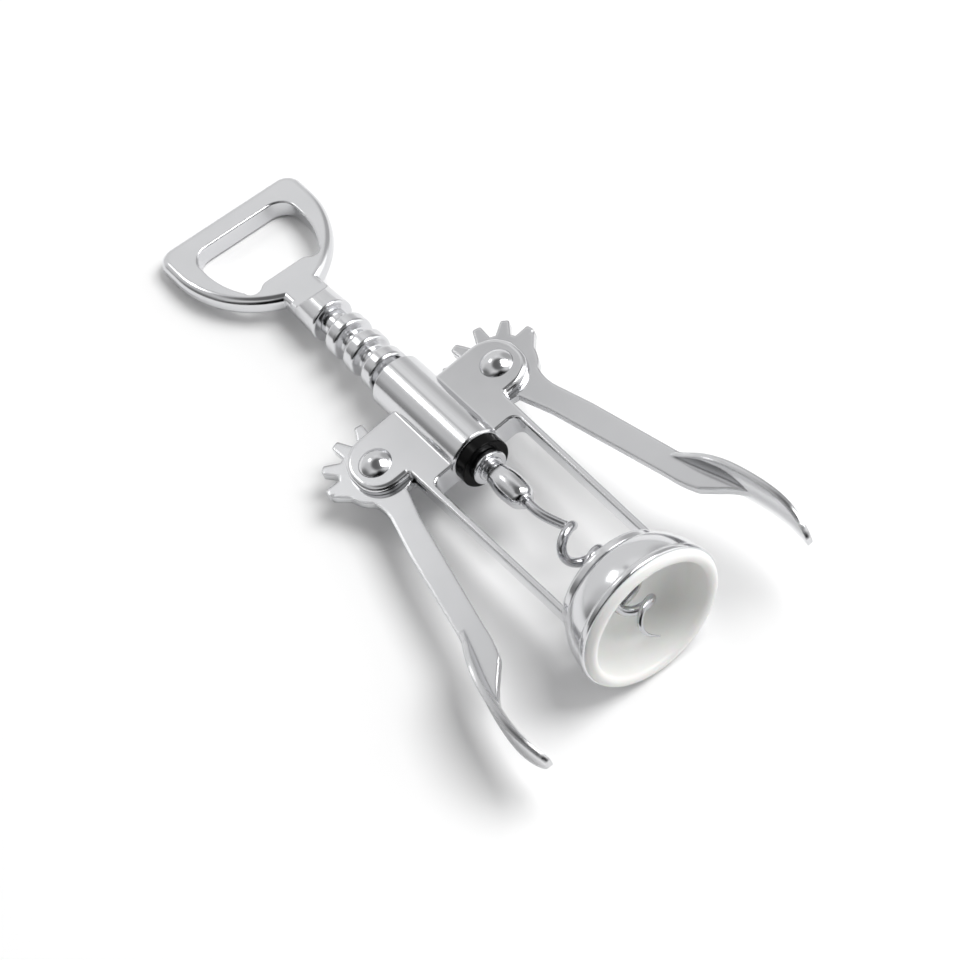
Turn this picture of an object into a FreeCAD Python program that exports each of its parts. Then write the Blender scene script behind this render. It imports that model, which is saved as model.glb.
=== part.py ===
import FreeCAD, Part
import math
import os

# Wing corkscrew at rest on a table, handle drawn right up, in millimetres.
# The pieces are drawn about the spindle: X across the levers, Y from the bell's mouth to the
# handle, Z through the flat of the frame. They are then leaned onto the table.

os.makedirs("parts", exist_ok=True)
V = FreeCAD.Vector
ORIGIN = V(0, 0, 0)
ACROSS = V(1, 0, 0)
ALONG = V(0, 1, 0)
THROUGH = V(0, 0, 1)

# driving dimensions
PITCH = 7.25             # ridge spacing of the round rack
TEETH_PER_TURN = 12      # gear tooth spacing on the levers
RIDGE_RADIUS = 5.7       # outside of the rack's ridges
RACK_ROOT = 3.5          # radius between the ridges
RIDGES = 7
PIVOT_X = 18.0           # lever pin from the spindle axis
LEVER_THICK = 2.1
FRAME_DEPTH = 6.6        # frame casting through the ears and legs
BARREL_FOOT = 61.75      # barrel's lower end above the bell's mouth
BARREL_LENGTH = 31.6
BELL_MOUTH = 0.6         # chrome rim of the bell
BELL_RADIUS = 18.35
BOTTLE_BORE = 15.05      # liner bore, takes a bottle neck of 29.5
HANDLE_LENGTH = 39.1     # flat ring of the handle, along the spindle
HANDLE_HALF = 20.4       # half its width
HANDLE_THICK = 5.0
WORM_LENGTH = 46.0       # below the ferrule
FRAME_TURN = 7.6         # degrees the frame has turned about the spindle as it lies
LEFT_SLACK = 1.2         # degrees the left lever hangs further out, within the gear's play

# clearances
BORE_GAP = 0.3           # ridge to barrel bore
SLOT_GAP = 0.1           # lever face to slot face, each side
PIN_GAP = 0.05           # lever hole to rivet, radial
TIP_GAP = 0.35           # gear tip to slot pocket
JOURNAL_GAP = 0.05       # spindle journal to washer, radial
MESH_SHIFT = 0.12        # second ridge below the lever pin

# rack
RIDGE_CREST = 4.1        # ridge width at the crest
RIDGE_BASE = 5.0
RIDGE_ROUND = 0.9        # rounded edges of the crest
RIDGE_FLANK = (RIDGE_BASE - RIDGE_CREST) / 2
RACK_FOOT = BARREL_FOOT + PITCH
RACK_TOP = RACK_FOOT + (RIDGES - 1) * PITCH
PIVOT_Y = RACK_FOOT + PITCH + MESH_SHIFT

# gear
GEAR_RADIUS = PITCH * TEETH_PER_TURN / math.tau
GEAR_TIP = GEAR_RADIUS - 0.45
GEAR_END_TIP = GEAR_TIP - 0.7
GEAR_ROOT = GEAR_TIP - 4.0
TOOTH_TIP = 2.2          # tooth width at the tip
TOOTH_ROOT = 3.5
TOOTH_ROUND = 0.55
FIRST_TOOTH = 75.0       # degrees from the handle side, outwards
TEETH = 7

# barrel and plates
BARREL_BORE = RIDGE_RADIUS + BORE_GAP
BARREL_RADIUS = BARREL_BORE + 1.0
BARREL_TOP = BARREL_FOOT + BARREL_LENGTH
BARREL_CHAMFER = 0.5
HALF_DEPTH = FRAME_DEPTH / 2
SLOT_HALF = LEVER_THICK / 2 + SLOT_GAP
POCKET = GEAR_TIP + TIP_GAP
EAR_TOP = PIVOT_Y + 8.6
EAR_OUT = PIVOT_X + 6.4
EAR_FOOT = PIVOT_Y - 8.0
EAR_EDGE = 1.3           # rounding of the ears' long edges
WINDOW_TOP = BARREL_FOOT + 0.25
LEG_TOP = EAR_FOOT + 3.0
LEG_OUT_TOP = 14.0
LEG_OUT_FOOT = 13.2
LEG_IN_TOP = 12.1
LEG_IN_FOOT = 11.6
LEG_EDGE = 0.6           # rounding of the legs' long edges
BEAD = 0.6               # hollow radius where the plates meet the barrel

# bell
RING_TOP = 13.6
RING_FOOT = 11.2
RING_RADIUS = 14.3
RING_HOLE = 6.0
NECK_RADIUS = 13.4
BELL_TOP = 10.6
SPIGOT_RADIUS = 12.4
SPIGOT_TOP = 12.0
FLOOR = 10.3             # liner floor seen from the mouth
LINER = 1.15             # liner wall
BOWL = 5.3               # radius between liner bore and floor

# rivets
RIVET_SHANK = 2.0
RIVET_HEAD = 4.0
RIVET_DOME = 1.9

# spindle below the barrel
WASHER_FOOT = BARREL_FOOT - 3.0
WASHER_RADIUS = RIDGE_RADIUS + 0.6
JOURNAL = 3.0
COLLAR_FOOT = WASHER_FOOT - 1.8
COLLAR_RADIUS = 4.4
FERRULE_TOP = COLLAR_FOOT - 0.4
FERRULE_FOOT = FERRULE_TOP - 12.8
STUB = 1.8               # spindle stub inside the ferrule
STUB_FOOT = FERRULE_TOP - 5.2

# worm
WIRE = 1.15
COIL = 3.25              # helix radius of the wire's middle
COIL_PITCH = 8.95
RAMP_START = FERRULE_FOOT - 2.7
COIL_START = FERRULE_FOOT - 13.7
COIL_FRONT = FERRULE_FOOT - 14.8  # a turn faces +Z here
SWING_IN = 3.0           # stretch over which the wire starts to turn
WORM_TIP = FERRULE_FOOT - WORM_LENGTH
POINT_LENGTH = 9.0       # the last of the wire, drawn down to a point, along Y
POINT_WIRE = 0.18
WORM_STATIONS = 12       # sections drawn in each turn of the worm

# handle
NECK_FOOT = RACK_TOP + PITCH - 0.8
NECK_RADIUS_UP = RIDGE_RADIUS - 0.35
NECK_EDGE = 0.7          # rounded end of the neck
HANDLE_FOOT = NECK_FOOT + 8.1
HANDLE_END = HANDLE_FOOT + HANDLE_LENGTH
SHOULDER = HANDLE_END - 9.2   # widest part of the handle
SHANK_TOP = HANDLE_FOOT + 4.6 # the ring's sides start here
CORNER = 4.5
HANDLE_EDGE = 1.9
HOLE_EDGE = 0.5          # rounded rims of the opening
HOLE_HALF = HANDLE_HALF - 6.3
HOLE_TOP = HANDLE_END - 6.6
HOLE_FOOT = HANDLE_FOOT + 12.3
HOLE_CORNER = 5.0
TENON = 2.2              # spindle end inside the neck
TENON_TOP = NECK_FOOT + 5.8
CROSS_PIN = 0.9
CROSS_PIN_Y = NECK_FOOT + 3.5
CROSS_PIN_LENGTH = 7.9

# levers
PAD_HALF = 5.5           # finger pad half width
PAD_THICK = 1.3
PAD_DISH = 13.2          # hollow radius across the pad
PAD_TOP = PIVOT_Y - 46.9
PAD_TIP = PAD_TOP - 40.2


def outline(start, steps):
    """Closed face in the XY plane; a step is one point (line), two (arc) or more (curve)."""
    edges = []
    here = V(start[0], start[1], 0)
    for step in steps:
        points = [V(x, y, 0) for x, y in step]
        if len(points) == 1:
            edges.append(Part.makeLine(here, points[0]))
        elif len(points) == 2:
            edges.append(Part.Arc(here, points[0], points[1]).toShape())
        else:
            curve = Part.BSplineCurve()
            curve.interpolate([here] + points)
            edges.append(curve.toShape())
        here = points[-1]
    return Part.Face(Part.Wire(edges))


def slab(face, half):
    """A flat outline made solid, half thickness to each side of Z = 0."""
    face = face.copy()
    face.translate(THROUGH * -half)
    return face.extrude(THROUGH * (2 * half))


def turned(start, steps):
    """A closed (radius, y) profile turned about the spindle axis."""
    return outline(start, steps).revolve(ORIGIN, ALONG, 360)


def rod(radius, foot, top):
    """A round bar on the spindle axis."""
    return Part.makeCylinder(radius, top - foot, V(0, foot, 0), ALONG)


def post(radius, x, y, half):
    """A round bar through the frame's depth."""
    return Part.makeCylinder(radius, 2 * half, V(x, y, -half), THROUGH)


def rounded_ring(bore, radius, foot, top, turn):
    """A ring about the spindle axis with both outer rims rounded."""
    swell = turn * math.sqrt(0.5)
    inside = radius - turn
    return turned((bore, foot), [
        [(inside, foot)],
        [(inside + swell, foot + turn - swell), (radius, foot + turn)],
        [(radius, top - turn)],
        [(inside + swell, top - turn + swell), (inside, top)],
        [(bore, top)],
        [(bore, foot)],
    ])


def mirrored(shape):
    return shape.mirror(ORIGIN, ACROSS)


def both_halves(body):
    """A right-hand solid and its mirror joined in one."""
    return body.fuse(mirrored(body)).removeSplitter()


def face_edges(shape, half):
    """Edges that lie in the two flat faces at Z = half and Z = -half."""
    chosen = []
    for edge in shape.Edges:
        box = edge.BoundBox
        if box.ZLength < 0.001 and abs(abs(box.ZMin) - half) < 0.001:
            chosen.append(edge)
    return chosen


# frame casting
def ears():
    """The two ears in one plate, its long edges well rounded."""
    turn = 8.0
    foot_turn = 7.0
    c = math.sqrt(0.5)
    top = (EAR_OUT - turn, EAR_TOP - turn)
    low = (EAR_OUT - foot_turn, EAR_FOOT + foot_turn)
    half = outline((0, EAR_TOP), [
        [(top[0], EAR_TOP)],
        [(top[0] + turn * c, top[1] + turn * c), (EAR_OUT, top[1])],
        [(EAR_OUT, low[1])],
        [(low[0] + foot_turn * c, low[1] - foot_turn * c), (low[0], EAR_FOOT)],
        [(0, EAR_FOOT)],
        [(0, EAR_TOP)],
    ])
    body = both_halves(slab(half, HALF_DEPTH))
    return body.makeFillet(EAR_EDGE, face_edges(body, HALF_DEPTH))


def window():
    """The open window between the legs, right half."""
    turn = 2.0
    c = math.sqrt(0.5)
    middle = (LEG_IN_TOP - turn, WINDOW_TOP - turn)
    return outline((0, RING_TOP), [
        [(LEG_IN_FOOT, RING_TOP)],
        [(LEG_IN_TOP, middle[1])],
        [(middle[0] + turn * c, middle[1] + turn * c), (middle[0], WINDOW_TOP)],
        [(0, WINDOW_TOP)],
        [(0, RING_TOP)],
    ])


def legs():
    """Bridge and legs in one flat piece, its top buried in the ears."""
    inset = 0.8
    c = math.sqrt(0.5)
    inner = (LEG_OUT_TOP + inset, EAR_FOOT - inset)
    half = outline((0, LEG_TOP), [
        [(inner[0], LEG_TOP)],
        [(inner[0], EAR_FOOT)],
        [(inner[0] - inset * c, inner[1] + inset * c), (LEG_OUT_TOP, inner[1])],
        [(LEG_OUT_FOOT, RING_FOOT + 1.0)],
        [(0, RING_FOOT + 1.0)],
        [(0, LEG_TOP)],
    ])
    body = both_halves(slab(half.cut(window()), HALF_DEPTH))
    return body.makeFillet(LEG_EDGE, face_edges(body, HALF_DEPTH))


def barrel():
    """Round barrel with a chamfer outside at each end."""
    edge = BARREL_RADIUS - BARREL_CHAMFER
    return turned((0, BARREL_FOOT), [
        [(edge, BARREL_FOOT)],
        [(BARREL_RADIUS, BARREL_FOOT + BARREL_CHAMFER)],
        [(BARREL_RADIUS, BARREL_TOP - BARREL_CHAMFER)],
        [(edge, BARREL_TOP)],
        [(0, BARREL_TOP)],
        [(0, BARREL_FOOT)],
    ])


def beads():
    """Hollow corners where the plates meet the barrel, four in all."""
    reach = BARREL_RADIUS + BEAD
    level = HALF_DEPTH + BEAD
    out = math.sqrt(reach ** 2 - level ** 2)
    share = BARREL_RADIUS / reach
    touch = V(out * share, level * share, 0)
    flat = V(out, HALF_DEPTH, 0)
    centre = V(out, level, 0)
    dip = centre + (touch + flat - centre * 2).normalize() * BEAD
    deep = V(BARREL_BORE * share, HALF_DEPTH - BEAD, 0)
    foot = WINDOW_TOP + LEG_EDGE
    corner = outline((flat.x, flat.y), [
        [(dip.x, dip.y), (touch.x, touch.y)],
        [(deep.x, deep.y)],
        [(flat.x, flat.y)],
    ]).extrude(THROUGH * (EAR_TOP - EAR_EDGE - foot))
    corner.rotate(ORIGIN, ACROSS, -90)
    corner.translate(ALONG * foot)
    other = corner.mirror(ORIGIN, THROUGH)
    return [corner, other, mirrored(corner), mirrored(other)]


def base_ring():
    """Round foot of the casting with a recess that locates the bell."""
    turn = 1.2
    c = math.sqrt(0.5)
    return turned((RING_HOLE, RING_TOP), [
        [(RING_RADIUS - turn, RING_TOP)],
        [(RING_RADIUS - turn + turn * c, RING_TOP - turn + turn * c), (RING_RADIUS, RING_TOP - turn)],
        [(RING_RADIUS, RING_FOOT)],
        [(SPIGOT_RADIUS, RING_FOOT)],
        [(SPIGOT_RADIUS, SPIGOT_TOP)],
        [(RING_HOLE, SPIGOT_TOP)],
        [(RING_HOLE, RING_TOP)],
    ])


def frame_casting():
    body = barrel().fuse([ears(), legs(), base_ring()] + beads())
    cuts = [rod(BARREL_BORE, BARREL_FOOT - 1, BARREL_TOP + 1)]
    cuts.append(rod(RING_HOLE, RING_FOOT - 1, RING_TOP + 1))
    for side in (1, -1):
        cuts.append(post(POCKET, side * PIVOT_X, PIVOT_Y, SLOT_HALF))
        cuts.append(post(RIVET_SHANK, side * PIVOT_X, PIVOT_Y, HALF_DEPTH + 1))
    return body.cut(cuts).removeSplitter()


# bell
def bell_cup():
    """Chrome cup: domed outside, bored inside to take the liner."""
    wall = BOTTLE_BORE + LINER
    corner = BOWL + 0.6
    c = math.sqrt(0.5)
    floor = FLOOR + 0.5
    middle = (wall - corner, floor - corner)
    return turned((wall, BELL_MOUTH), [
        [(BELL_RADIUS - 0.5, BELL_MOUTH)],
        [(BELL_RADIUS - 0.15, BELL_MOUTH + 0.15), (BELL_RADIUS, BELL_MOUTH + 0.5)],
        [(BELL_RADIUS, BELL_MOUTH + 1.1)],
        [(BELL_RADIUS - 0.12, BELL_MOUTH + 1.55), (BELL_RADIUS - 0.42, BELL_MOUTH + 1.9)],
        [(17.45, 6.0), (16.35, 9.0)],
        [(15.45, 10.15), (13.9, BELL_TOP)],
        [(NECK_RADIUS, BELL_TOP)],
        [(NECK_RADIUS, RING_FOOT)],
        [(SPIGOT_RADIUS, RING_FOOT)],
        [(SPIGOT_RADIUS, SPIGOT_TOP)],
        [(RING_HOLE + 0.3, SPIGOT_TOP)],
        [(RING_HOLE + 0.3, floor)],
        [(middle[0], floor)],
        [(middle[0] + corner * c, middle[1] + corner * c), (wall, middle[1])],
        [(wall, BELL_MOUTH)],
    ])


def bell_liner():
    """White liner: rolled lip over the rim, straight bore, rounded bowl."""
    wall = BOTTLE_BORE + LINER
    corner = BOWL + 0.6
    c = math.sqrt(0.5)
    outer = FLOOR + 0.5
    middle = (wall - corner, outer - corner)
    inner = (BOTTLE_BORE - BOWL, FLOOR - BOWL)
    return turned((wall, BELL_MOUTH), [
        [(wall, middle[1])],
        [(middle[0] + corner * c, middle[1] + corner * c), (middle[0], outer)],
        [(RING_HOLE - 0.5, outer)],
        [(RING_HOLE - 0.5, FLOOR)],
        [(inner[0], FLOOR)],
        [(inner[0] + BOWL * c, inner[1] + BOWL * c), (BOTTLE_BORE, inner[1])],
        [(BOTTLE_BORE, 0.2)],
        [(15.2, -0.35), (15.6, -0.75)],
        [(16.5, -0.95), (17.4, -0.5)],
        [(17.8, 0.0), (17.9, BELL_MOUTH)],
        [(wall, BELL_MOUTH)],
    ])


# rivets
def rivet():
    """Domed head on each side of the right ear."""
    dome = (RIVET_HEAD ** 2 + RIVET_DOME ** 2) / (2 * RIVET_DOME)
    body = post(RIVET_SHANK, PIVOT_X, PIVOT_Y, HALF_DEPTH)
    for side in (1, -1):
        face = side * HALF_DEPTH
        ball = Part.makeSphere(dome, V(PIVOT_X, PIVOT_Y, face + side * (RIVET_DOME - dome)))
        room = Part.makeCylinder(RIVET_HEAD, RIVET_DOME, V(PIVOT_X, PIVOT_Y, face), THROUGH * side)
        body = body.fuse(ball.common(room))
    return body.removeSplitter()


# levers
def tooth(angle, tip):
    """One stub tooth of the right gear, its angle measured from +Y towards +X."""
    body = slab(outline((-TOOTH_ROOT / 2, GEAR_ROOT - 1.5), [
        [(TOOTH_ROOT / 2, GEAR_ROOT - 1.5)],
        [(TOOTH_ROOT / 2, GEAR_ROOT)],
        [(TOOTH_TIP / 2, tip - TOOTH_ROUND)],
        [(TOOTH_TIP / 2 - 0.3 * TOOTH_ROUND, tip - 0.3 * TOOTH_ROUND),
         (TOOTH_TIP / 2 - TOOTH_ROUND, tip)],
        [(TOOTH_ROUND - TOOTH_TIP / 2, tip)],
        [(0.3 * TOOTH_ROUND - TOOTH_TIP / 2, tip - 0.3 * TOOTH_ROUND),
         (-TOOTH_TIP / 2, tip - TOOTH_ROUND)],
        [(-TOOTH_ROOT / 2, GEAR_ROOT)],
        [(-TOOTH_ROOT / 2, GEAR_ROOT - 1.5)],
    ]), LEVER_THICK / 2)
    body.rotate(ORIGIN, THROUGH, -angle)
    body.translate(V(PIVOT_X, PIVOT_Y, 0))
    return body


def from_pivot(x, y):
    """A point of the right lever, given from its pivot."""
    return (PIVOT_X + x, PIVOT_Y + y)


def lever_bar():
    """Flat bar of the right lever, from the last tooth's horn to the finger pad."""
    foot = PAD_TOP - PIVOT_Y
    return slab(outline(from_pivot(-1.8, -8.8), [
        [from_pivot(0.9, -18.0)],
        [from_pivot(7.5, foot - 4.2)],
        [from_pivot(8.2, foot - 8.0), from_pivot(9.7, foot - 12.6)],
        [from_pivot(12.5, foot - 15.9)],
        [from_pivot(15.1, foot - 19.0), from_pivot(17.6, foot - 23.6)],
        [from_pivot(17.8, foot - 17.6), from_pivot(15.2, foot - 9.4),
         from_pivot(13.9, foot - 5.0), from_pivot(13.0, foot - 1.4)],
        [from_pivot(8.5, -24.2)],
        [from_pivot(6.1, -14.1)],
        [from_pivot(5.8, -9.7), from_pivot(7.5, -4.2), from_pivot(10.2, -0.6),
         from_pivot(12.3, 1.8)],
        [(PIVOT_X, PIVOT_Y)],
        [from_pivot(-1.8, -8.8)],
    ]), LEVER_THICK / 2)


def finger_pad():
    """Dished leaf that runs on from the bar and curls in at its tip."""
    foot = PAD_TOP - PIVOT_Y
    bend = ((12.3, 1.9), (13.6, -3.0), (15.3, -9.0), (17.1, -14.9), (18.3, -20.2),
            (19.1, -25.4), (19.5, -30.2), (19.4, -34.6), (18.7, -40.2))
    spine = Part.BSplineCurve()
    spine.interpolate([V(PIVOT_X + x, PIVOT_Y + foot + y, 0) for x, y in bend])
    path = Part.Wire([spine.toShape()])
    start = spine.value(spine.FirstParameter)
    along = V(*spine.tangent(spine.FirstParameter)[0])
    out = THROUGH.cross(along)
    if out.x < 0:
        out = out * -1
    wide = PAD_HALF + 0.5
    inner = PAD_DISH
    outer = PAD_DISH + PAD_THICK
    middle = start + out * (inner - PAD_THICK / 2)
    rim_in = math.sqrt(inner ** 2 - wide ** 2)
    rim_out = math.sqrt(outer ** 2 - wide ** 2)
    section = Part.Wire([
        Part.Arc(middle - out * rim_in - THROUGH * wide, middle - out * inner,
                 middle - out * rim_in + THROUGH * wide).toShape(),
        Part.makeLine(middle - out * rim_in + THROUGH * wide,
                      middle - out * rim_out + THROUGH * wide),
        Part.Arc(middle - out * rim_out + THROUGH * wide, middle - out * outer,
                 middle - out * rim_out - THROUGH * wide).toShape(),
        Part.makeLine(middle - out * rim_out - THROUGH * wide,
                      middle - out * rim_in - THROUGH * wide),
    ])
    pipe = Part.BRepOffsetAPI.MakePipeShell(path)
    pipe.setBiNormalMode(THROUGH)
    pipe.add(section)
    pipe.build()
    pipe.makeSolid()
    return pipe.shape().common(pad_leaf())


def pad_leaf():
    """The pad's outline seen square on, as a block across X."""
    shape = ((1.0, 4.6), (3.2, 3.5), (7.1, 1.5), (11.6, 0.3), (17.6, 0.0),
             (25.6, 0.1), (32.6, 0.7), (37.1, 2.0), (39.4, 3.6))
    top = [V(0, PAD_TOP - down, PAD_HALF - less) for down, less in shape]
    low = [V(0, point.y, -point.z) for point in reversed(top)]
    head = V(0, PAD_TOP, 0)
    tip = V(0, PAD_TIP, 0)
    side = Part.BSplineCurve()
    side.interpolate([head] + top + [tip])
    back = Part.BSplineCurve()
    back.interpolate([tip] + low + [head])
    face = Part.Face(Part.Wire([side.toShape(), back.toShape()]))
    face.translate(ACROSS * PIVOT_X)
    return face.extrude(ACROSS * PIVOT_X * 2)


def lever():
    """Right lever: gear, bar and finger pad in one casting."""
    parts = [lever_bar(), finger_pad()]
    for k in range(TEETH):
        tip = GEAR_END_TIP if k == 0 else GEAR_TIP
        parts.append(tooth(FIRST_TOOTH - k * 360 / TEETH_PER_TURN, tip))
    body = post(GEAR_ROOT, PIVOT_X, PIVOT_Y, LEVER_THICK / 2).fuse(parts)
    hole = post(RIVET_SHANK + PIN_GAP, PIVOT_X, PIVOT_Y, LEVER_THICK)
    return body.cut(hole).removeSplitter()


def left_lever():
    """The same casting turned over on the left, hanging a little further out."""
    body = mirrored(lever())
    body.rotate(V(-PIVOT_X, PIVOT_Y, 0), THROUGH, -LEFT_SLACK)
    return body


# spindle
def rack_spindle():
    """Ridged spindle with a tenon for the handle and a stub for the ferrule."""
    half = RIDGE_CREST / 2
    c = math.sqrt(0.5)
    middle = RIDGE_RADIUS - RIDGE_ROUND
    flat = half - RIDGE_ROUND
    bend = RIDGE_ROUND * c
    steps = [[(STUB, STUB_FOOT)], [(STUB, FERRULE_TOP)], [(JOURNAL, FERRULE_TOP)],
             [(JOURNAL, BARREL_FOOT)], [(RACK_ROOT, BARREL_FOOT + 0.5)]]
    for k in range(RIDGES):
        y = RACK_FOOT + k * PITCH
        steps += [
            [(RACK_ROOT, y - half - RIDGE_FLANK)],
            [(middle, y - half)],
            [(middle + bend, y - flat - bend), (RIDGE_RADIUS, y - flat)],
            [(RIDGE_RADIUS, y + flat)],
            [(middle + bend, y + flat + bend), (middle, y + half)],
            [(RACK_ROOT, y + half + RIDGE_FLANK)],
        ]
    steps += [[(RACK_ROOT, NECK_FOOT)], [(TENON, NECK_FOOT)], [(TENON, TENON_TOP)],
              [(0, TENON_TOP)], [(0, STUB_FOOT)]]
    return turned((0, STUB_FOOT), steps).cut(pin_hole())


def pin_hole():
    """Blind hole for the cross pin, open on the underside."""
    depth = CROSS_PIN_LENGTH + 1.0
    top = CROSS_PIN_LENGTH + cross_pin_end()
    return Part.makeCylinder(CROSS_PIN, depth, V(0, CROSS_PIN_Y, top - depth), THROUGH)


def cross_pin_end():
    """Level of the pin's outer end, just inside the neck's round."""
    return -(RIDGE_RADIUS - 0.7)


def cross_pin():
    """Dowel that holds the handle on the spindle."""
    foot = V(0, CROSS_PIN_Y, cross_pin_end())
    return Part.makeCylinder(CROSS_PIN, CROSS_PIN_LENGTH, foot, THROUGH)


def bumper_washer():
    """Black washer under the barrel, the upper stop of the stroke."""
    return rounded_ring(JOURNAL + JOURNAL_GAP, WASHER_RADIUS, WASHER_FOOT, BARREL_FOOT, 0.3)


def thrust_collar():
    """Chrome collar fixed on the spindle under the washer."""
    return rounded_ring(JOURNAL, COLLAR_RADIUS, COLLAR_FOOT, WASHER_FOOT, 0.4)


def worm_ferrule():
    """Tapered ferrule that clamps the worm's shank."""
    top = FERRULE_TOP
    return turned((STUB, top), [
        [(2.45, top)],
        [(2.7, top - 1.4), (3.05, top - 3.2), (3.4, top - 5.4), (3.45, top - 7.6),
         (3.3, top - 9.6), (2.9, top - 11.4), (2.0, top - 12.4)],
        [(1.9, FERRULE_FOOT)],
        [(WIRE, FERRULE_FOOT)],
        [(WIRE, STUB_FOOT)],
        [(STUB, STUB_FOOT)],
        [(STUB, top)],
    ])


def worm_point(y):
    """Middle of the worm's wire at a height."""
    rise = min(SWING_IN, max(0.0, y - COIL_START))
    wound = min(y, COIL_START) + rise - rise ** 2 / (2 * SWING_IN)
    turn = math.tau * (wound - COIL_FRONT) / COIL_PITCH
    grow = min(1.0, max(0.0, (RAMP_START - y) / (RAMP_START - COIL_START)))
    radius = COIL * grow * grow * (2 - grow)
    return V(radius * math.sin(turn), y, radius * math.cos(turn))


def worm_rings():
    """Square of control points and its corner weights round the wire, station by station."""
    corners = [(1, 0), (1, 1), (0, 1), (-1, 1), (-1, 0), (-1, -1), (0, -1), (1, -1), (1, 0)]
    pull = 3 / (2 + math.cos(math.tau / WORM_STATIONS))
    count = math.ceil((STUB_FOOT - WORM_TIP) * WORM_STATIONS / COIL_PITCH)
    side = ACROSS
    rings = []
    for k in range(count + 1):
        y = STUB_FOOT - k * (STUB_FOOT - WORM_TIP) / count
        here = worm_point(y)
        here = V(here.x * pull, y, here.z * pull)
        along = (worm_point(y - 0.05) - worm_point(y + 0.05)).normalize()
        side = (side - along * side.dot(along)).normalize()
        up = along.cross(side)
        left = min(1.0, (y - WORM_TIP) / POINT_LENGTH)
        radius = max(POINT_WIRE, WIRE * math.sqrt(max(0.0, left)))
        rings.append([here + side * (a * radius) + up * (b * radius) for a, b in corners])
    return rings


def worm():
    """Open coil of round wire, straight in the ferrule and pointed at the tip."""
    rings = worm_rings()
    count = len(rings)
    poles = [list(row) for row in zip(*rings)]
    weights = [[1.0 if k % 2 == 0 else math.sqrt(0.5)] * count for k in range(len(poles))]
    surface = Part.BSplineSurface()
    surface.buildFromPolesMultsKnots(
        poles, [3, 2, 2, 2, 3], [4] + [1] * (count - 4) + [4],
        [0, 1, 2, 3, 4], list(range(count - 2)), False, False, 2, 3, weights)
    skin = surface.toShape()
    ends = [Part.Face(Part.Wire([e])) for e in skin.Edges if e.isClosed()]
    shell = Part.makeShell([skin] + ends)
    shell.sewShape()
    return Part.makeSolid(shell)


# handle
def handle_outline():
    """Right half of the handle's flat ring and shank, seen square on."""
    c = math.sqrt(0.5)
    corner = (HANDLE_HALF - CORNER, HANDLE_END - CORNER)
    across = HANDLE_HALF - NECK_RADIUS_UP
    down = SHOULDER - SHANK_TOP
    side = (across ** 2 + down ** 2) / (2 * across)
    bend = math.asin(down / side) / 2
    middle = (HANDLE_HALF - side + side * math.cos(bend), SHOULDER - side * math.sin(bend))
    return outline((0, HANDLE_END), [
        [(corner[0], HANDLE_END)],
        [(corner[0] + CORNER * c, corner[1] + CORNER * c), (HANDLE_HALF, corner[1])],
        [(HANDLE_HALF, SHOULDER)],
        [middle, (NECK_RADIUS_UP, SHANK_TOP)],
        [(NECK_RADIUS_UP, HANDLE_FOOT)],
        [(0, HANDLE_FOOT)],
        [(0, HANDLE_END)],
    ])


def handle_hole():
    """Right half of the opening, with the blunt tongue of a cap lifter."""
    c = math.sqrt(0.5)
    turn = HOLE_CORNER
    return outline((0, HOLE_TOP), [
        [(HOLE_HALF - turn, HOLE_TOP)],
        [(HOLE_HALF - turn + turn * c, HOLE_TOP - turn + turn * c), (HOLE_HALF, HOLE_TOP - turn)],
        [(HOLE_HALF, HOLE_TOP - turn - 3.0)],
        [(HOLE_HALF - 0.75, (HOLE_TOP + HOLE_FOOT) / 2 - 3.4), (HOLE_HALF - 3.2, HOLE_FOOT + 0.6)],
        [(HOLE_HALF - 3.9, HOLE_FOOT - 1.0), (HOLE_HALF - 5.3, HOLE_FOOT - 1.6)],
        [(HOLE_HALF - 6.4, HOLE_FOOT - 1.35), (HOLE_HALF - 7.3, HOLE_FOOT - 0.7)],
        [(HOLE_HALF - 8.1, HOLE_FOOT - 0.2), (HOLE_HALF - 9.1, HOLE_FOOT)],
        [(0, HOLE_FOOT)],
        [(0, HOLE_TOP)],
    ])


def neck():
    """Round bar behind the last ridge that slopes down to the ring's two faces."""
    high = HANDLE_FOOT + 2.0
    c = math.sqrt(0.5)
    edge = (RIDGE_RADIUS - NECK_EDGE, NECK_FOOT + NECK_EDGE)
    round_bar = turned((0, NECK_FOOT), [
        [(edge[0], NECK_FOOT)],
        [(edge[0] + NECK_EDGE * c, edge[1] - NECK_EDGE * c), (RIDGE_RADIUS, edge[1])],
        [(NECK_RADIUS_UP, HANDLE_FOOT)],
        [(NECK_RADIUS_UP, high)],
        [(0, high)],
        [(0, NECK_FOOT)],
    ])
    out = RIDGE_RADIUS + 0.1
    level = HANDLE_THICK / 2
    start = HANDLE_FOOT + level - out
    side = outline((-out, NECK_FOOT - 1), [
        [(out, NECK_FOOT - 1)],
        [(out, start)],
        [(level, HANDLE_FOOT)],
        [(level, high + 1)],
        [(-level, high + 1)],
        [(-level, HANDLE_FOOT)],
        [(-out, start)],
        [(-out, NECK_FOOT - 1)],
    ])
    flats = slab(side, out)
    flats.rotate(ORIGIN, ALONG, 90)
    return round_bar.common(flats)


def in_opening(edge):
    """True for an edge that runs round the ring's opening."""
    box = edge.BoundBox
    return box.XMax < HOLE_HALF + 0.1 and box.XMin > -HOLE_HALF - 0.1 and box.YMax < HOLE_TOP + 0.1


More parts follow.
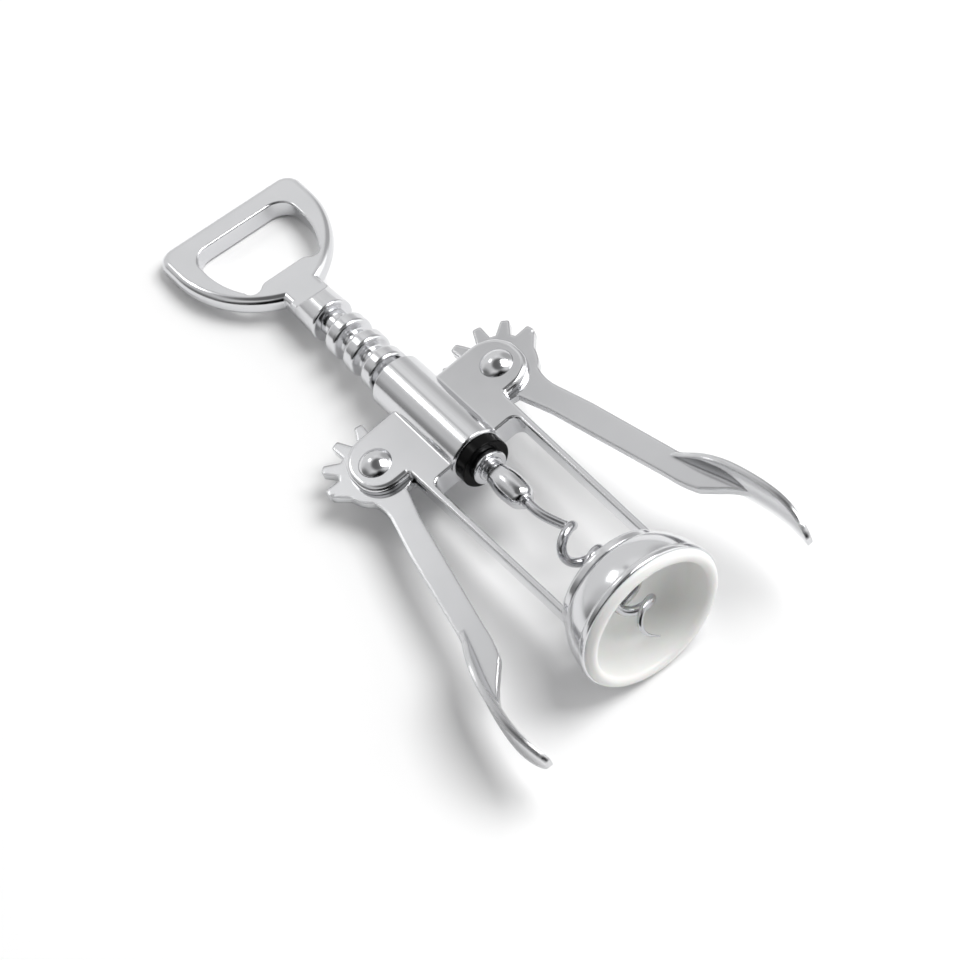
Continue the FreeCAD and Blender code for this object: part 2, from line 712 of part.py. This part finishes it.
def opener_handle():
    """Ring handle on a neck that drops into the barrel at full stroke."""
    ring = both_halves(slab(handle_outline(), HANDLE_THICK / 2))
    ring = ring.makeFillet(HANDLE_EDGE, face_edges(ring, HANDLE_THICK / 2))
    ring = ring.cut(both_halves(slab(handle_hole(), HANDLE_THICK)))
    hole_rims = [edge for edge in face_edges(ring, HANDLE_THICK / 2) if in_opening(edge)]
    ring = ring.makeFillet(HOLE_EDGE, hole_rims)
    body = ring.fuse(neck())
    return body.cut([rod(TENON, NECK_FOOT - 1, TENON_TOP), pin_hole()]).removeSplitter()


def lean_angle():
    """Lean of the spindle when the bell's rim and the handle's end both touch the table."""
    rim_round = 0.5
    rise = (BELL_RADIUS - rim_round) - (HANDLE_THICK / 2 - HANDLE_EDGE)
    run = (HANDLE_END - HANDLE_EDGE) - (BELL_MOUTH + rim_round)
    swell = HANDLE_EDGE - rim_round
    return math.degrees(math.atan2(rise, run) - math.asin(swell / math.hypot(rise, run)))


def rested(shape, turn):
    """A piece turned about the spindle and leaned onto the table."""
    shape = shape.copy()
    shape.rotate(ORIGIN, ALONG, -turn)
    shape.rotate(ORIGIN, ACROSS, -lean_angle())
    return shape


frame_nodes = {
    "frame_casting": frame_casting(),
    "bell_cup": bell_cup(),
    "bell_liner": bell_liner(),
    "right_rivet": rivet(),
    "left_rivet": mirrored(rivet()),
    "right_lever": lever(),
    "left_lever": left_lever(),
}
spindle_nodes = {
    "bumper_washer": bumper_washer(),
    "thrust_collar": thrust_collar(),
    "rack_spindle": rack_spindle(),
    "opener_handle": opener_handle(),
    "handle_cross_pin": cross_pin(),
    "worm_ferrule": worm_ferrule(),
    "worm": worm(),
}
pieces = {name: rested(shape, FRAME_TURN) for name, shape in frame_nodes.items()}
pieces.update({name: rested(shape, 0) for name, shape in spindle_nodes.items()})
box = Part.makeCompound(list(pieces.values())).optimalBoundingBox(False, False)
shift = V(-(box.XMin + box.XMax) / 2, -(box.YMin + box.YMax) / 2, -box.ZMin)
for name, shape in pieces.items():
    shape.translate(shift)
    shape.exportStep("parts/" + name + ".step")
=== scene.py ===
import math

import bpy
from mathutils import Matrix, Vector

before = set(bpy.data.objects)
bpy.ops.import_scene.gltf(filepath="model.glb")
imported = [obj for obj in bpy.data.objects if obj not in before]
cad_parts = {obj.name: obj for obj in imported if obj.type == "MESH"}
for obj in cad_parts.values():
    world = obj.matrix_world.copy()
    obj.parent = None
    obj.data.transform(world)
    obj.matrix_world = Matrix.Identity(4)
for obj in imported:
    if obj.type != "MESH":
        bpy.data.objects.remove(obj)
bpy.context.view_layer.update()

bl_info = {
    "name": "Wing Corkscrew Looks",
    "version": (1, 0, 0),
    "blender": (4, 5, 0),
    "location": "View3D > Sidebar > Corkscrew",
    "description": "Finishes, light and camera for a chrome wing corkscrew lying on a table",
    "category": "Object",
}

PLATED_PIECES = ["frame_casting", "bell_cup", "right_rivet", "left_rivet",
                 "thrust_collar", "opener_handle", "worm_ferrule"]
LEVER_PIECES = ["right_lever", "left_lever"]
SPINDLE_PIECES = ["rack_spindle"]
WIRE_PIECES = ["worm", "handle_cross_pin"]
LINER_PIECES = ["bell_liner"]
WASHER_PIECES = ["bumper_washer"]

# Noise scales, in patches per metre.
PLATE_TONE = 90.0        # about 11 mm wide: slow drift of the plating's tone
PLATE_GLOSS = 240.0      # about 4 mm wide: uneven hand polishing
CAST_WAVE = 60.0         # about 17 mm wide: faint waves left under the polish
WIRE_WAVE = 150.0        # about 7 mm wide: waves of the bent wire
MOULD_TONE = 70.0        # about 14 mm wide: flow of the moulded plastic
MOULD_GRAIN = 900.0      # about 1 mm wide, coarser than a mould's own grain so that it can show

MOULD_GRAIN_DEPTH = 0.000004    # metres
MOULD_SCATTER_DEPTH = 0.001     # metres

EDGE_SAMPLES = 6
RIDGE_SAMPLES = 12       # the small ridges need a smoother edge

# The room's brightness by the sine of the elevation: pale walls, dim ceiling.
WALL_TOP = 0.76
CEILING_START = 0.92
WALL_LEVEL = 0.84
CEILING_LEVEL = 0.15

# Azimuth, elevation, inner and outer radius in degrees, and gain.
ROOM_PATCHES = [
    (-155.0, 40.0, 9.0, 19.0, 0.05),     # dark wall behind the camera, upper part
    (-158.0, 12.0, 32.0, 50.0, 0.05),    # the same, lower part
    (-75.0, 0.0, 16.0, 40.0, 0.3),       # dim far left corner
    (1.0, 46.5, 2.0, 5.0, 1.35),         # glow round the soft box
    (8.5, 45.5, 2.0, 4.5, 0.6),          # grey wall beside it
    (24.0, 44.0, 4.0, 12.0, 1.12),       # pale wall further right
    (112.0, 22.0, 12.0, 26.0, 1.9),      # pale screen under the large light
    (-125.0, 8.0, 26.0, 42.0, 0.15),     # left end of the dark wall
    (-62.0, 30.0, 14.0, 36.0, 0.78),     # slightly dim left wall
    (70.0, 24.0, 12.0, 30.0, 0.6),       # dim right wall
]

# Azimuth and elevation in degrees; distance, width and height in metres.
KEY_PLACE = (110.0, 60.0, 1.4, 0.8, 0.8)
BOX_PLACE = (-15.0, 43.0, 1.0, 0.22, 0.18)

SENSOR_WIDTH = 36.0      # mm
NEAR_CLIP = 0.01         # metres


# colours and nodes
def linear(code):
    """An sRGB hex code as linear RGBA."""
    parts = [int(code[k:k + 2], 16) / 255 for k in (1, 3, 5)]
    out = [p / 12.92 if p <= 0.04045 else ((p + 0.055) / 1.055) ** 2.4 for p in parts]
    return (*out, 1.0)


def add(tree, kind, settings=None, inputs=None):
    """Adds a node, sets its properties, then sets or links its inputs."""
    node = tree.nodes.new(kind)
    for key, value in (settings or {}).items():
        setattr(node, key, value)
    for key, value in (inputs or {}).items():
        if isinstance(value, bpy.types.NodeSocket):
            tree.links.new(value, node.inputs[key])
        else:
            node.inputs[key].default_value = value
    return node


def new_material(name):
    """An empty node material with its output node."""
    material = bpy.data.materials.new(name)
    material.use_nodes = True
    tree = material.node_tree
    tree.nodes.clear()
    return material, tree, tree.nodes.new("ShaderNodeOutputMaterial")


def object_noise(tree, scale, detail=2.0):
    """Noise over the piece's own coordinates, its scale in patches per metre."""
    place = add(tree, "ShaderNodeTexCoord")
    return add(tree, "ShaderNodeTexNoise", {}, {
        "Vector": place.outputs["Object"], "Scale": scale, "Detail": detail})


def two_tones(tree, scale, light, dark):
    """A colour that drifts between two close tones."""
    tone = object_noise(tree, scale)
    mix = add(tree, "ShaderNodeMix", {"data_type": "RGBA"}, {
        "Factor": tone.outputs["Fac"], "A": light, "B": dark})
    return mix.outputs["Result"]


# finishes
def metal(name, settings, light, dark, wave, edge, edge_samples):
    """Plated metal: close greys, slightly uneven gloss, faint waves, softly rounded edges."""
    material, tree, out = new_material(name)
    colour = two_tones(tree, PLATE_TONE, light, dark)
    gloss = object_noise(tree, PLATE_GLOSS, 3.0)
    roughness = add(tree, "ShaderNodeMapRange", {}, {
        "Value": gloss.outputs["Fac"], "To Min": settings.smooth, "To Max": settings.rough})
    waves = object_noise(tree, wave, 1.0)
    round_edge = add(tree, "ShaderNodeBevel", {"samples": edge_samples}, {"Radius": edge})
    bump = add(tree, "ShaderNodeBump", {}, {
        "Strength": 1.0, "Distance": settings.wave_depth, "Height": waves.outputs["Fac"],
        "Normal": round_edge.outputs["Normal"]})
    shader = add(tree, "ShaderNodeBsdfPrincipled", {}, {
        "Base Color": colour, "Metallic": 1.0, "Roughness": roughness.outputs["Result"],
        "Normal": bump.outputs["Normal"]})
    tree.links.new(shader.outputs["BSDF"], out.inputs["Surface"])
    return material


def plastic(name, light, dark, roughness, scatter, shine):
    """Moulded plastic with a faint tone change and a soft sheen."""
    material, tree, out = new_material(name)
    colour = two_tones(tree, MOULD_TONE, light, dark)
    grain = object_noise(tree, MOULD_GRAIN, 2.0)
    bump = add(tree, "ShaderNodeBump", {}, {
        "Strength": 1.0, "Distance": MOULD_GRAIN_DEPTH, "Height": grain.outputs["Fac"]})
    shader = add(tree, "ShaderNodeBsdfPrincipled", {}, {
        "Base Color": colour, "Roughness": roughness, "Specular IOR Level": shine,
        "Subsurface Weight": scatter, "Subsurface Scale": MOULD_SCATTER_DEPTH,
        "Normal": bump.outputs["Normal"]})
    tree.links.new(shader.outputs["BSDF"], out.inputs["Surface"])
    return material


def dress(pieces, material):
    """Puts a material in every slot of each piece."""
    for piece in pieces:
        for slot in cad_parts[piece].material_slots:
            slot.material = material


# settings
def length(name, description, default):
    """A length setting in metres."""
    return bpy.props.FloatProperty(
        name=name, description=description, default=default, unit="LENGTH", subtype="DISTANCE")


def tint(name, description, code):
    """A colour setting that starts from an sRGB hex code."""
    return bpy.props.FloatVectorProperty(
        name=name, description=description, default=linear(code), size=4, min=0.0, max=1.0,
        subtype="COLOR")


class FinishSettings(bpy.types.PropertyGroup):
    """Surface settings of the metals and plastics."""
    chrome_light: tint("Chrome", "Lighter tone of the chrome", "#dcdcde")
    chrome_dark: tint("Chrome, darker", "Darker tone of the chrome", "#d2d3d5")
    wire_light: tint("Wire", "Lighter tone of the plated wire", "#c9c9cc")
    wire_dark: tint("Wire, darker", "Darker tone of the plated wire", "#bdbec1")
    liner_light: tint("Liner", "Lighter tone of the bell's liner", "#f6f6f4")
    liner_dark: tint("Liner, darker", "Darker tone of the bell's liner", "#f1f1ef")
    washer_light: tint("Washer", "Lighter tone of the black washer", "#060607")
    washer_dark: tint("Washer, darker", "Darker tone of the black washer", "#030303")
    smooth: bpy.props.FloatProperty(
        name="Smoothest", description="Roughness of the brightest plating", default=0.12,
        min=0.0, max=1.0, subtype="FACTOR")
    rough: bpy.props.FloatProperty(
        name="Dullest", description="Roughness of the dullest plating", default=0.17,
        min=0.0, max=1.0, subtype="FACTOR")
    wave_depth: length("Waviness", "Depth of the castings' waves", 0.000008)
    edge: length("Edge", "Radius of the polished-over edges", 0.0004)
    ridge_edge: length("Ridge edge", "Radius of the spindle's rounded ridges", 0.0009)
    lever_edge: length("Lever edge", "Radius of the levers' rounded edges", 0.0009)


class StageSettings(bpy.types.PropertyGroup):
    """Table, light and camera."""
    table_side: length("Table", "Side of the white table", 6.0)
    table_tone: tint("Table colour", "Colour of the white table", "#fdfdfd")
    room: bpy.props.FloatProperty(
        name="Room light", description="Brightness of the pale room", default=1.0)
    key: bpy.props.FloatProperty(
        name="Key light", description="Power of the large soft light in W", default=14.0)
    box: bpy.props.FloatProperty(
        name="Soft box", description="Power of the small soft box in W", default=0.45)
    camera_at: bpy.props.FloatVectorProperty(
        name="Camera", description="Camera position", default=(-0.171143, -0.325775, 0.519781),
        unit="LENGTH", subtype="TRANSLATION")
    camera_side: bpy.props.FloatVectorProperty(
        name="Camera side", description="Direction of the picture's right",
        default=(0.78495, -0.61045, -0.10586))
    camera_up: bpy.props.FloatVectorProperty(
        name="Camera up", description="Direction of the picture's top",
        default=(0.55575, 0.61824, 0.5558))
    lens: bpy.props.FloatProperty(
        name="Lens", description="Focal length on a 36 mm sensor, in mm", default=103.71)


# pieces
class WC_OT_plated_pieces(bpy.types.Operator):
    """Plates the frame, the bell, the handle and the small turned pieces"""
    bl_idname = "object.wc_plated_pieces"
    bl_label = "Plated pieces"

    def execute(self, context):
        # Zinc casting, polished, then nickel and chrome plated: a bright mirror, slightly soft.
        s = context.scene.wc_finish
        dress(PLATED_PIECES, metal("Polished chrome plate", s, s.chrome_light, s.chrome_dark,
                                   CAST_WAVE, s.edge, EDGE_SAMPLES))
        return {"FINISHED"}


class WC_OT_levers(bpy.types.Operator):
    """Plates the two levers"""
    bl_idname = "object.wc_levers"
    bl_label = "Levers"

    def execute(self, context):
        # The same plating over tumbled castings: the edges are rounder and catch soft lines.
        s = context.scene.wc_finish
        dress(LEVER_PIECES, metal("Polished chrome casting", s, s.chrome_light, s.chrome_dark,
                                  CAST_WAVE, s.lever_edge, EDGE_SAMPLES))
        return {"FINISHED"}


class WC_OT_spindle(bpy.types.Operator):
    """Plates the ridged spindle"""
    bl_idname = "object.wc_spindle"
    bl_label = "Spindle"

    def execute(self, context):
        # The same plating over a lathe-turned bar: each ridge is polished round.
        s = context.scene.wc_finish
        dress(SPINDLE_PIECES, metal("Polished chrome turning", s, s.chrome_light, s.chrome_dark,
                                    CAST_WAVE, s.ridge_edge, RIDGE_SAMPLES))
        return {"FINISHED"}


class WC_OT_wire_pieces(bpy.types.Operator):
    """Plates the worm and the cross pin"""
    bl_idname = "object.wc_wire_pieces"
    bl_label = "Worm and pin"

    def execute(self, context):
        # Drawn steel wire, nickel plated: a darker grey than the chrome round it.
        s = context.scene.wc_finish
        dress(WIRE_PIECES, metal("Plated steel wire", s, s.wire_light, s.wire_dark,
                                 WIRE_WAVE, s.edge, EDGE_SAMPLES))
        return {"FINISHED"}


class WC_OT_liner(bpy.types.Operator):
    """Colours the bell's white liner"""
    bl_idname = "object.wc_liner"
    bl_label = "Liner"

    def execute(self, context):
        # Moulded nylon: semi-gloss white that lets a little light in.
        s = context.scene.wc_finish
        dress(LINER_PIECES, plastic("White nylon liner", s.liner_light, s.liner_dark,
                                    roughness=0.38, scatter=0.15, shine=0.5))
        return {"FINISHED"}


class WC_OT_washer(bpy.types.Operator):
    """Colours the black washer"""
    bl_idname = "object.wc_washer"
    bl_label = "Washer"

    def execute(self, context):
        # Moulded nylon: deep black with small tight highlights.
        s = context.scene.wc_finish
        dress(WASHER_PIECES, plastic("Black nylon washer", s.washer_dark, s.washer_light,
                                     roughness=0.2, scatter=0.0, shine=0.1))
        return {"FINISHED"}


# stage
def toward(azimuth, elevation):
    """Unit direction; azimuth from +Y towards +X, elevation above the table, in degrees."""
    a = math.radians(azimuth)
    e = math.radians(elevation)
    return Vector((math.sin(a) * math.cos(e), math.cos(a) * math.cos(e), math.sin(e)))


def soft_light(name, azimuth, elevation, distance, width, height, power):
    """A rectangular soft box aimed at the middle of the table."""
    bpy.ops.object.light_add(type="AREA", location=toward(azimuth, elevation) * distance)
    light = bpy.context.object
    light.name = name
    light.data.shape = "RECTANGLE"
    light.data.size = width
    light.data.size_y = height
    light.data.energy = power
    light.rotation_euler = light.location.to_track_quat("Z", "Y").to_euler()


def room_patch(tree, direction, azimuth, elevation, inner, outer, gain):
    """The gain inside a soft-edged round patch of the room, 1 outside; radii in degrees."""
    dot = add(tree, "ShaderNodeVectorMath", {"operation": "DOT_PRODUCT"}, {
        0: direction, 1: toward(azimuth, elevation)})
    node = add(tree, "ShaderNodeMapRange", {"interpolation_type": "SMOOTHSTEP"}, {
        "Value": dot.outputs["Value"],
        "From Min": math.cos(math.radians(outer)), "From Max": math.cos(math.radians(inner)),
        "To Min": 1.0, "To Max": gain})
    return node.outputs["Result"]


def room_light(strength):
    """Pale room with a dim ceiling, its patches multiplied over the plain level."""
    world = bpy.data.worlds.new("Pale room")
    bpy.context.scene.world = world
    world.use_nodes = True
    tree = world.node_tree
    tree.nodes.clear()
    out = tree.nodes.new("ShaderNodeOutputWorld")
    direction = add(tree, "ShaderNodeTexCoord").outputs["Generated"]
    split = add(tree, "ShaderNodeSeparateXYZ", {}, {"Vector": direction})
    rise = add(tree, "ShaderNodeMapRange", {"interpolation_type": "SMOOTHSTEP"}, {
        "Value": split.outputs["Z"], "From Min": WALL_TOP, "From Max": CEILING_START,
        "To Min": WALL_LEVEL * strength, "To Max": CEILING_LEVEL * strength})
    level = rise.outputs["Result"]
    for patch in ROOM_PATCHES:
        node = add(tree, "ShaderNodeMath", {"operation": "MULTIPLY"}, {
            0: level, 1: room_patch(tree, direction, *patch)})
        level = node.outputs["Value"]
    back = add(tree, "ShaderNodeBackground", {}, {
        "Color": linear("#ffffff"), "Strength": level})
    tree.links.new(back.outputs["Background"], out.inputs["Surface"])


def table_material(tone):
    """Plain matt white table."""
    material, tree, out = new_material("Matt white table")
    shader = add(tree, "ShaderNodeBsdfDiffuse", {}, {"Color": tone})
    tree.links.new(shader.outputs["BSDF"], out.inputs["Surface"])
    return material


class WC_OT_stage(bpy.types.Operator):
    """Lays the table and sets the lights and the camera"""
    bl_idname = "object.wc_stage"
    bl_label = "Stage"

    def execute(self, context):
        s = context.scene.wc_stage
        bpy.ops.mesh.primitive_plane_add(size=s.table_side, location=(0, 0, 0))
        table = context.object
        table.name = "table"
        table.data.materials.append(table_material(s.table_tone))
        room_light(s.room)
        soft_light("key_soft_light", *KEY_PLACE, s.key)
        soft_light("far_soft_box", *BOX_PLACE, s.box)
        bpy.ops.object.camera_add(location=s.camera_at)
        camera = context.object
        side = Vector(s.camera_side).normalized()
        up = Vector(s.camera_up).normalized()
        turn = Matrix((side, up, side.cross(up))).transposed()
        camera.rotation_euler = turn.to_euler()
        camera.data.lens = s.lens
        camera.data.sensor_width = SENSOR_WIDTH
        camera.data.clip_start = NEAR_CLIP
        context.scene.camera = camera
        context.scene.view_settings.view_transform = "Standard"
        return {"FINISHED"}


class WC_PT_panel(bpy.types.Panel):
    """Buttons for each step"""
    bl_idname = "WC_PT_panel"
    bl_label = "Corkscrew"
    bl_space_type = "VIEW_3D"
    bl_region_type = "UI"
    bl_category = "Corkscrew"

    def draw(self, context):
        for operator in OPERATORS:
            self.layout.operator(operator.bl_idname)


OPERATORS = [WC_OT_plated_pieces, WC_OT_levers, WC_OT_spindle, WC_OT_wire_pieces,
             WC_OT_liner, WC_OT_washer, WC_OT_stage]
CLASSES = [FinishSettings, StageSettings, *OPERATORS, WC_PT_panel]


def register():
    for cls in CLASSES:
        bpy.utils.register_class(cls)
    bpy.types.Scene.wc_finish = bpy.props.PointerProperty(type=FinishSettings)
    bpy.types.Scene.wc_stage = bpy.props.PointerProperty(type=StageSettings)


def unregister():
    del bpy.types.Scene.wc_stage
    del bpy.types.Scene.wc_finish
    for cls in reversed(CLASSES):
        bpy.utils.unregister_class(cls)


def main():
    register()
    bpy.ops.object.wc_plated_pieces()
    bpy.ops.object.wc_levers()
    bpy.ops.object.wc_spindle()
    bpy.ops.object.wc_wire_pieces()
    bpy.ops.object.wc_liner()
    bpy.ops.object.wc_washer()
    bpy.ops.object.wc_stage()


if __name__ == "__main__":
    main()
